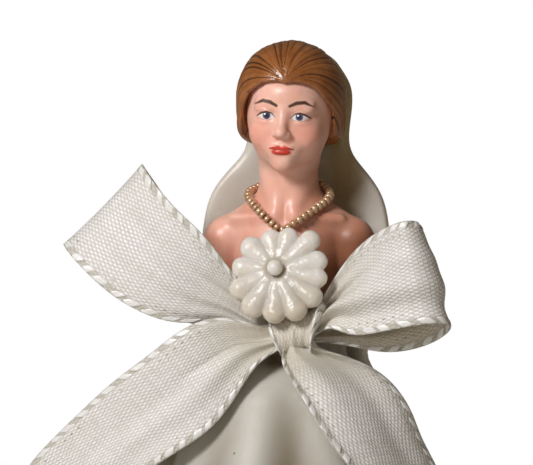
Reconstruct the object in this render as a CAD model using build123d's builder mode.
from build123d import *
import math
import os

# A bride-figure wedding candle, in millimetres. +Z is up, the figure faces -Y, and the origin is on the
# base plane under the figure's neck. A white wax gown stands on a flat base and carries a painted wax bust.
# A wax veil backs the figure and holds the wick. A ribbon bow, a wax flower and a bead necklace trim it.

# ---- driving dimensions ----
TOTAL_HEIGHT = 168.0  # top of the hair
WAIST_Z = 97.0  # top of the skirt's dome
HEM_RADIUS = 46.0  # crest radius of the skirt at the base
DEPTH_SHARE = 0.92  # the gown is a little flatter front to back
TRAIN_SHIFT = 6.0  # the hem's centre lies this far behind the neck
FLUTES = 10  # soft folds round the skirt
FLUTE_DEPTH = 4.4  # crest to valley at the hem
FIRST_CREST = -8.5  # degrees from the front, towards +X
NECKLINE_Z = 111.0  # top of the strapless bodice

BOW_CENTRE = (4.5, -15.6, 104.0)
BOW_TILT = 17.5  # degrees that the knot's +X end is raised
RIBBON_THICKNESS = 0.8
BEAD_RADIUS = 1.05
BEAD_HOLE_RADIUS = 0.36
BEAD_LENGTH = 1.2
BEAD_PITCH = 1.42
THREAD_RADIUS = 0.22
PETALS = 12
FLOWER_CENTRE = (0.6, -16.2, 116.8)  # on the flower's back face
FLOWER_TILT = 20.0  # degrees that the flower faces upwards
PETAL_REACH = 11.3  # flower centre to petal tip
CENTRE_BALL_RADIUS = 1.9
CENTRE_BALL_LIFT = 3.6  # above the flower's back face

WICK_RADIUS = 0.9
WICK_Y = 13.6  # the wick rises through the gown's back and the veil
TAB_RADIUS = 7.5
TAB_THICKNESS = 0.4
TAB_RECESS = 0.5  # the tab sits this far above the base plane
COLLAR_RADIUS = 1.7
COLLAR_HEIGHT = 4.0

# Crest radius of the skirt at each height, as shares of the hem radius and the waist height.
SKIRT_PROFILE = [
    (0.00, 1.000),
    (0.06, 0.990),
    (0.26, 0.935),
    (0.46, 0.850),
    (0.64, 0.750),
    (0.78, 0.645),
    (0.885, 0.540),
    (0.95, 0.455),
    (1.00, 0.335),
]

os.makedirs("parts", exist_ok=True)


def save(builder, name):
    """Labels a finished piece and writes it as its own node."""
    builder.part.label = name
    export_step(builder.part, f"parts/{name}.step")


# ---- gown ----
def skirt_centre_y(z):
    return TRAIN_SHIFT * (1 - z / WAIST_Z) ** 1.2


def fluted_section(z, radius):
    """Closed outline of the skirt at one height: crests at the stated radius, valleys between them."""
    fade = 1 - (z / WAIST_Z) ** 5
    depth = FLUTE_DEPTH * fade * radius / HEM_RADIUS
    points = []
    steps = FLUTES * 4
    for i in range(steps):
        angle = math.radians(FIRST_CREST) + 2 * math.pi * i / steps
        r = radius - depth * (1 - math.cos(2 * math.pi * i / 4)) / 2
        points.append((r * math.sin(angle), skirt_centre_y(z) - DEPTH_SHARE * r * math.cos(angle)))
    return points


def elliptical_body(sections):
    """Lofts ellipses given as (z, half width, half depth, centre y)."""
    with BuildPart() as body:
        for z, half_width, half_depth, y in sections:
            with BuildSketch(Plane.XY.offset(z)):
                with Locations((0, y)):
                    if half_width >= half_depth:
                        Ellipse(half_width, half_depth)
                    else:
                        Ellipse(half_depth, half_width, rotation=90)
        loft()
    return body.part


with BuildPart() as skirt:
    for share_z, share_r in SKIRT_PROFILE:
        with BuildSketch(Plane.XY.offset(share_z * WAIST_Z)):
            with BuildLine():
                Spline(*fluted_section(share_z * WAIST_Z, share_r * HEM_RADIUS), periodic=True)
            make_face()
    loft()

BODICE = [
    (WAIST_Z - 1, 13.4, 10.8, 0.2),
    (101, 12.9, 10.6, 0.0),
    (106, 13.4, 11.6, -0.4),
    (NECKLINE_Z, 14.6, 12.9, -0.8),
]

# ---- bust: torso, arms, neck and head in one casting ----
TORSO = [
    (92, 8.0, 6.0, 0.0),
    (97, 10.6, 8.0, 0.0),
    (104, 11.6, 9.2, -0.4),
    (112, 13.2, 11.2, -1.0),
    (117, 14.0, 11.0, -1.0),
    (122, 14.6, 9.4, -0.2),
    (126, 14.0, 7.9, 0.5),
    (129, 11.6, 7.0, 0.9),
    (132, 8.8, 6.5, 1.0),
    (136, 7.5, 6.4, 0.9),
    (140, 7.2, 6.5, 0.5),
    (144, 7.0, 6.8, 0.2),
]
HEAD = [
    (139.6, 2.4, 2.0, -8.2),
    (141.0, 4.4, 4.4, -6.3),
    (143.5, 6.5, 7.8, -3.6),
    (147.0, 8.2, 10.0, -1.6),
    (152.0, 9.3, 11.3, -0.5),
    (156.5, 9.8, 11.6, -0.1),
    (160.5, 9.2, 10.8, 0.3),
    (163.5, 7.4, 8.8, 0.7),
    (165.6, 4.2, 5.0, 1.0),
    (166.4, 1.6, 2.0, 1.1),
]
MOUTH_Z = 144.2


def ellipsoid(centre, radii):
    """A scaled sphere, kept out of the active part until it is added."""
    ball = scale(Sphere(1, mode=Mode.PRIVATE), by=radii, mode=Mode.PRIVATE)
    return Location(centre) * ball


with BuildPart() as head:
    add(elliptical_body(HEAD))
    add(ellipsoid((0, -11.9, 149.6), (1.1, 1.5, 3.4)))  # bridge of the nose
    add(ellipsoid((0, -12.7, 147.9), (1.6, 1.5, 1.2)))  # tip of the nose
    add(ellipsoid((0, -10.6, MOUTH_Z), (2.9, 1.2, 1.0)))  # lips
    for side in (-1, 1):
        add(ellipsoid((side * 9.3, 1.2, 150.4), (1.1, 1.9, 3.0)))  # ear

SHOULDER = (14.4, 0.6, 123.4)
ELBOW = (15.6, -2.4, 103.4)
HAND = (2.6, -9.6, 103.6)


def limb(start, start_radius, end, end_radius):
    """A tapered limb between two joints, with a ball at its start."""
    direction = (Vector(*end) - Vector(*start)).normalized()
    with BuildPart() as piece:
        for point, radius in ((start, start_radius), (end, end_radius)):
            with BuildSketch(Plane(origin=point, z_dir=direction)):
                Circle(radius * 0.98)
        loft()
        with Locations(Location(start)):
            Sphere(start_radius)
    return piece.part


with BuildPart() as arm:
    add(limb(SHOULDER, 4.5, ELBOW, 3.4))
    add(limb(ELBOW, 3.5, HAND, 2.3))
    with Locations(Location(HAND)):
        Sphere(2.4)

with BuildPart() as bust:
    add(elliptical_body(TORSO))
    add(head.part)
    add(arm.part)
    add(mirror(arm.part, about=Plane.YZ, mode=Mode.PRIVATE))

# ---- hair: a combed-back cap over the skull ----
HAIR = [
    (142.6, 8.0, 7.2, 4.6),
    (145.0, 10.0, 9.0, 3.2),
    (149.0, 11.4, 10.9, 1.3),
    (153.0, 11.8, 11.9, 0.2),
    (157.0, 11.6, 12.4, -0.3),
    (161.0, 10.3, 11.7, 0.0),
    (164.5, 8.0, 9.4, 0.5),
    (166.9, 4.8, 5.8, 0.8),
    (TOTAL_HEIGHT, 1.6, 2.0, 1.0),
]
FACE_HALF_WIDTH = 9.6
HAIRLINE_Z = 159.0
HAIR_FRONT_Y = -1.2  # at the sides the hair starts behind this

with BuildPart() as hair:
    add(elliptical_body(HAIR))
    with BuildSketch(Plane.XZ.offset(-HAIR_FRONT_Y)):
        with Locations((0, HAIRLINE_Z - FACE_HALF_WIDTH)):
            Circle(FACE_HALF_WIDTH)
        with Locations((0, HAIRLINE_Z - FACE_HALF_WIDTH - 15)):
            Rectangle(2 * FACE_HALF_WIDTH + 6, 30)
    extrude(amount=30, mode=Mode.SUBTRACT)
    add(bust.part, mode=Mode.SUBTRACT)

# ---- wick and its metal tab ----
WICK_BEND_Z = 163.4  # where the wick turns back, just under the veil's top edge
WICK_BEND_RADIUS = 2.4
WICK_TIP = (0, WICK_Y + 6.6, 164.2)

with BuildPart() as wick:
    with BuildLine() as wick_path:
        FilletPolyline(
            (0, WICK_Y, TAB_RECESS), (0, WICK_Y, WICK_BEND_Z), WICK_TIP, radius=WICK_BEND_RADIUS
        )
    with BuildSketch(Plane.XY.offset(TAB_RECESS)):
        with Locations((0, WICK_Y)):
            Circle(WICK_RADIUS)
    sweep(path=wick_path.line)

with BuildPart() as wick_tab:
    with BuildSketch(Plane.XY.offset(TAB_RECESS)):
        with Locations((0, WICK_Y)):
            Circle(TAB_RADIUS)
            Circle(WICK_RADIUS, mode=Mode.SUBTRACT)
    extrude(amount=TAB_THICKNESS)
    with BuildSketch(Plane.XY.offset(TAB_RECESS + TAB_THICKNESS)):
        with Locations((0, WICK_Y)):
            Circle(COLLAR_RADIUS)
            Circle(WICK_RADIUS, mode=Mode.SUBTRACT)
    extrude(amount=COLLAR_HEIGHT)

with BuildPart() as gown:
    add(skirt.part)
    add(elliptical_body(BODICE))
    with BuildSketch():
        with Locations((0, WICK_Y)):
            Circle(TAB_RADIUS + 0.3)
    extrude(amount=TAB_RECESS + TAB_THICKNESS, mode=Mode.SUBTRACT)
    with BuildSketch():
        with Locations((0, WICK_Y)):
            Circle(COLLAR_RADIUS)
    extrude(amount=TAB_RECESS + TAB_THICKNESS + COLLAR_HEIGHT, mode=Mode.SUBTRACT)
    with BuildSketch():
        with Locations((0, WICK_Y)):
            Circle(WICK_RADIUS)
    extrude(amount=WAIST_Z + 20, mode=Mode.SUBTRACT)
    add(bust.part, mode=Mode.SUBTRACT)

# ---- veil: a wax slab behind the head and shoulders that falls down the back of the skirt ----
# (z, half width, bend radius, middle y, half thickness)
VEIL = [
    (8.0, 31.5, 50.0, 48.2, 1.4),
    (18.0, 31.5, 49.0, 47.0, 2.0),
    (28.0, 31.0, 47.6, 44.9, 2.0),
    (45.0, 30.0, 44.2, 40.5, 2.0),
    (62.0, 28.0, 39.3, 35.3, 2.0),
    (76.0, 24.6, 34.0, 30.0, 2.0),
    (86.0, 20.2, 29.5, 24.8, 2.1),
    (92.0, 17.6, 28.0, 19.6, 2.4),
    (97.0, 15.6, 28.0, 15.4, 2.6),
    (104.0, 18.4, 36.0, 13.7, 2.6),
    (116.0, 21.2, 48.0, 13.0, 2.5),
    (128.0, 20.6, 60.0, 12.8, 2.4),
    (134.0, 18.6, 60.0, 12.7, 2.3),
    (138.5, 15.2, 55.0, 12.7, 2.3),
    (142.0, 12.4, 50.0, 12.8, 2.3),
    (147.0, 11.5, 45.0, 13.0, 2.3),
    (154.0, 12.2, 42.0, 13.1, 2.3),
    (158.0, 11.5, 42.0, 13.1, 2.2),
    (161.4, 9.4, 42.0, 13.0, 2.1),
    (164.0, 6.8, 42.0, 12.8, 1.7),
    (165.4, 4.0, 42.0, 12.7, 1.2),
]


def bent_slab(half_width, bend_radius, middle_y, half_thickness):
    """Closed outline of a lens-shaped slab, bent round a vertical axis in front of it."""
    half_angle = math.asin(half_width / bend_radius)
    points = []
    for i in range(16):
        turn = 2 * math.pi * i / 16
        r = bend_radius + half_thickness * math.sin(turn)
        angle = half_angle * math.cos(turn)
        points.append((r * math.sin(angle), middle_y - bend_radius + r * math.cos(angle)))
    return points


with BuildPart() as veil:
    for z, half_width, bend_radius, middle_y, half_thickness in VEIL:
        with BuildSketch(Plane.XY.offset(z)):
            with BuildLine():
                Spline(*bent_slab(half_width, bend_radius, middle_y, half_thickness), periodic=True)
            make_face()
    loft(ruled=True)
    for neighbour in (gown, bust, hair, wick):
        add(neighbour.part, mode=Mode.SUBTRACT)

# ---- ribbon bow ----
with BuildPart() as bow_knot:
    with Locations(Location(BOW_CENTRE, (0, -BOW_TILT, 0))):
        Box(13.0, 6.4, 7.6)
    fillet(bow_knot.edges(), radius=3.0)


def ribbon(stations, name):
    """A flat ribbon lofted through stations: (centre, width direction, width)."""
    centres = [Vector(*centre) for centre, _, _ in stations]
    last = len(stations) - 1
    planes = []
    for i, (centre, across, _) in enumerate(stations):
        along = centres[min(i + 1, last)] - centres[max(i - 1, 0)]
        across = Vector(*across).normalized()
        along = along - across * across.dot(along)
        planes.append(Plane(origin=centre, x_dir=across, z_dir=along))
    with BuildPart() as piece:
        for i in range(last):
            for k in (i, i + 1):
                with BuildSketch(planes[k]):
                    Rectangle(stations[k][2], RIBBON_THICKNESS)
            loft(ruled=True)
        add(bow_knot.part, mode=Mode.SUBTRACT)
    save(piece, name)
    return piece


# Every ribbon piece starts and ends inside the knot, where it is cut off face to face with it.
LOOP_LEFT = [
    ((1.0, -15.6, 105.0), (0.4, 0, 0.92), 5.0),
    ((-3.6, -15.0, 106.6), (0.42, 0, 0.9), 6.5),
    ((-11.1, -16.0, 110.8), (0.48, 0, 0.88), 11.0),
    ((-16.9, -17.6, 113.3), (0.56, 0, 0.83), 17.5),
    ((-23.3, -18.4, 117.2), (0.62, 0, 0.78), 22.5),
    ((-29.5, -17.6, 121.6), (0.67, 0, 0.74), 24.2),
    ((-35.7, -15.4, 127.2), (0.7, 0, 0.71), 25.0),
    ((-39.0, -12.8, 130.6), (0.7, 0, 0.71), 25.4),
    ((-40.1, -9.8, 131.4), (0.7, 0, 0.71), 25.4),
    ((-39.5, -7.4, 129.8), (0.7, 0, 0.71), 25.2),
    ((-36.6, -6.6, 125.8), (0.7, 0, 0.71), 24.6),
    ((-31.7, -7.4, 120.4), (0.67, 0, 0.74), 22.6),
    ((-25.4, -9.0, 116.0), (0.62, 0, 0.78), 20.0),
    ((-18.8, -10.8, 112.1), (0.56, 0, 0.83), 15.0),
    ((-11.0, -12.8, 108.2), (0.48, 0, 0.88), 9.0),
    ((-3.6, -13.4, 105.0), (0.42, 0, 0.9), 5.5),
    ((1.0, -14.2, 104.0), (0.4, 0, 0.92), 5.0),
]
LOOP_RIGHT = [
    ((7.0, -15.4, 105.4), (-0.1, 0, 1), 5.0),
    ((9.6, -15.4, 107.6), (-0.1, 0, 1), 7.0),
    ((12.9, -16.2, 111.0), (-0.02, 0, 1), 11.8),
    ((16.7, -17.6, 113.0), (0, 0, 1), 17.8),
    ((22.2, -20.0, 115.3), (-0.02, 0, 1), 21.8),
    ((28.1, -22.2, 117.3), (-0.12, 0, 0.99), 22.8),
    ((33.2, -22.8, 118.3), (-0.24, 0, 0.97), 23.4),
    ((35.8, -20.6, 118.1), (-0.28, 0, 0.96), 23.8),
    ((36.0, -17.4, 117.0), (-0.28, 0, 0.96), 24.0),
    ((32.9, -14.4, 114.4), (-0.27, 0, 0.96), 24.0),
    ((27.8, -12.2, 111.7), (-0.22, 0, 0.98), 23.0),
    ((21.0, -11.4, 108.1), (-0.15, 0, 0.99), 17.0),
    ((14.1, -12.2, 106.0), (-0.1, 0, 1), 10.0),
    ((9.6, -13.2, 104.6), (-0.1, 0, 1), 6.0),
    ((7.0, -14.0, 104.4), (-0.1, 0, 1), 5.0),
]
TAIL_LEFT = [
    ((1.0, -16.0, 103.4), (0.4, 0, -0.92), 5.5),
    ((-2.5, -17.6, 102.6), (0.4, 0, -0.92), 7.5),
    ((-7.6, -19.4, 101.8), (0.5, 0, -0.87), 13.0),
    ((-13.2, -20.8, 98.2), (0.58, 0, -0.81), 18.5),
    ((-20.4, -21.6, 91.4), (0.65, -0.1, -0.76), 21.5),
    ((-28.6, -21.2, 85.3), (0.72, -0.2, -0.69), 21.8),
    ((-37.2, -19.8, 78.5), (0.8, -0.3, -0.6), 21.2),
    ((-46.0, -17.8, 69.8), (0.86, -0.32, -0.5), 21.8),
    ((-51.6, -15.8, 60.6), (0.9, -0.28, -0.42), 22.8),
    ((-54.4, -14.2, 50.4), (0.94, -0.2, -0.34), 23.6),
]


def skirt_radius(z):
    """Crest radius of the skirt at a height, by straight steps between its sections."""
    share = z / WAIST_Z
    for (z0, r0), (z1, r1) in zip(SKIRT_PROFILE, SKIRT_PROFILE[1:]):
        if share <= z1:
            return HEM_RADIUS * (r0 + (r1 - r0) * (share - z0) / (z1 - z0))
    return HEM_RADIUS * SKIRT_PROFILE[-1][1]


TAIL_CLEARANCE = 2.0  # a tail lies this far outside the crests of the skirt


def tail_on_skirt(z, azimuth):
    """A point just outside the skirt, azimuth degrees from the front towards +X."""
    r = skirt_radius(z) + TAIL_CLEARANCE
    a = math.radians(azimuth)
    return (r * math.sin(a), skirt_centre_y(z) - DEPTH_SHARE * r * math.cos(a), z)


TAIL_RIGHT = [
    ((5.0, -15.8, 103.0), (0.95, 0.2, 0.1), 6.0),
    ((5.6, -17.0, 100.6), (0.95, 0.2, 0.1), 8.0),
    ((8.0, -16.9, 98.6), (0.93, 0.37, 0.08), 13.5),
    ((12.0, -15.8, 95.6), (0.87, 0.49, 0.05), 20.0),
    (tail_on_skirt(88.6, 45.5), (0.82, 0.57, 0), 24.2),
    (tail_on_skirt(80.5, 51.0), (0.69, 0.72, 0), 24.8),
    (tail_on_skirt(73.0, 57.0), (0.59, 0.81, 0), 25.0),
    (tail_on_skirt(61.5, 60.5), (0.53, 0.85, 0), 25.0),
    (tail_on_skirt(50.0, 63.0), (0.48, 0.88, 0), 25.2),
    (tail_on_skirt(39.0, 64.5), (0.45, 0.9, 0), 25.4),
]

save(bow_knot, "bow_knot")
bow_loop_left = ribbon(LOOP_LEFT, "bow_loop_left")
bow_loop_right = ribbon(LOOP_RIGHT, "bow_loop_right")
bow_tail_left = ribbon(TAIL_LEFT, "bow_tail_left")
bow_tail_right = ribbon(TAIL_RIGHT, "bow_tail_right")

# ---- wax flower ----
flower_facing = (0, -math.cos(math.radians(FLOWER_TILT)), math.sin(math.radians(FLOWER_TILT)))
flower_plane = Plane(origin=FLOWER_CENTRE, x_dir=(1, 0, 0), z_dir=flower_facing)

with BuildPart() as flat_petals:
    Cylinder(5.2, 2.2, align=(Align.CENTER, Align.CENTER, Align.MIN))
    petal = scale(Sphere(1, mode=Mode.PRIVATE), by=(PETAL_REACH * 0.42, 2.35, 1.7), mode=Mode.PRIVATE)
    with PolarLocations(PETAL_REACH * 0.58, PETALS, start_angle=15):
        add(Location((0, 0, 1.7)) * petal)
    with Locations((0, 0, CENTRE_BALL_LIFT)):
        Sphere(CENTRE_BALL_RADIUS, mode=Mode.SUBTRACT)

with BuildPart() as flower_petals:
    with Locations(flower_plane.location):
        add(flat_petals.part)

with BuildPart() as flower_centre:
    with Locations(flower_plane.location * Location((0, 0, CENTRE_BALL_LIFT))):
        Sphere(CENTRE_BALL_RADIUS)

# ---- hot-melt glue: one pad behind the flower, one dab behind the knot ----
with BuildPart() as flower_glue:
    with Locations(flower_plane.location):
        Cylinder(3.6, 6.0, align=(Align.CENTER, Align.CENTER, Align.MAX))
    for neighbour in (gown, bust, bow_knot):
        add(neighbour.part, mode=Mode.SUBTRACT)

with BuildPart() as bow_glue:
    with Locations((BOW_CENTRE[0] - 1.0, BOW_CENTRE[1] + 3.2, BOW_CENTRE[2] - 1.4)):
        Box(7.6, 5.0, 7.6, align=(Align.CENTER, Align.MIN, Align.CENTER))
    for neighbour in (gown, bust, bow_knot):
        add(neighbour.part, mode=Mode.SUBTRACT)

# ---- necklace: seed beads on a thread, round the neck to a point behind the flower ----
NECKLACE = [
    (0.0, -9.2, 126.2),
    (5.4, -7.4, 130.4),
    (9.4, -2.4, 133.8),
    (9.2, 3.6, 135.8),
    (4.4, 8.7, 136.8),
]
NECKLACE_CORNER = 5.0

right_side = NECKLACE[1:]
left_side = [(-x, y, z) for x, y, z in reversed(right_side)]

with BuildPart() as necklace_thread:
    with BuildLine():
        strand = FilletPolyline(NECKLACE[0], *right_side, *left_side, close=True, radius=NECKLACE_CORNER)
    with BuildSketch(Plane(origin=strand @ 0, z_dir=strand % 0)):
        Circle(THREAD_RADIUS)
    sweep(path=strand)

bead_count = int(strand.length / BEAD_PITCH)
with BuildPart() as bead:
    with BuildSketch(Plane.XZ):
        with Locations(((BEAD_RADIUS + BEAD_HOLE_RADIUS) / 2, 0)):
            Ellipse(BEAD_LENGTH / 2, (BEAD_RADIUS - BEAD_HOLE_RADIUS) / 2, rotation=90)
    revolve(axis=Axis.Z)

with BuildPart() as necklace_beads:
    for i in range(bead_count):
        share = (i + 0.5) / bead_count
        with Locations(Location(Plane(origin=strand @ share, z_dir=strand % share))):
            add(bead.part)

save(gown, "gown")
save(bust, "bust")
save(hair, "hair")
save(veil, "veil")
save(wick, "wick")
save(wick_tab, "wick_tab")
save(flower_petals, "flower_petals")
save(flower_centre, "flower_centre")
save(flower_glue, "flower_glue")
save(bow_glue, "bow_glue")
save(necklace_thread, "necklace_thread")
save(necklace_beads, "necklace_beads")
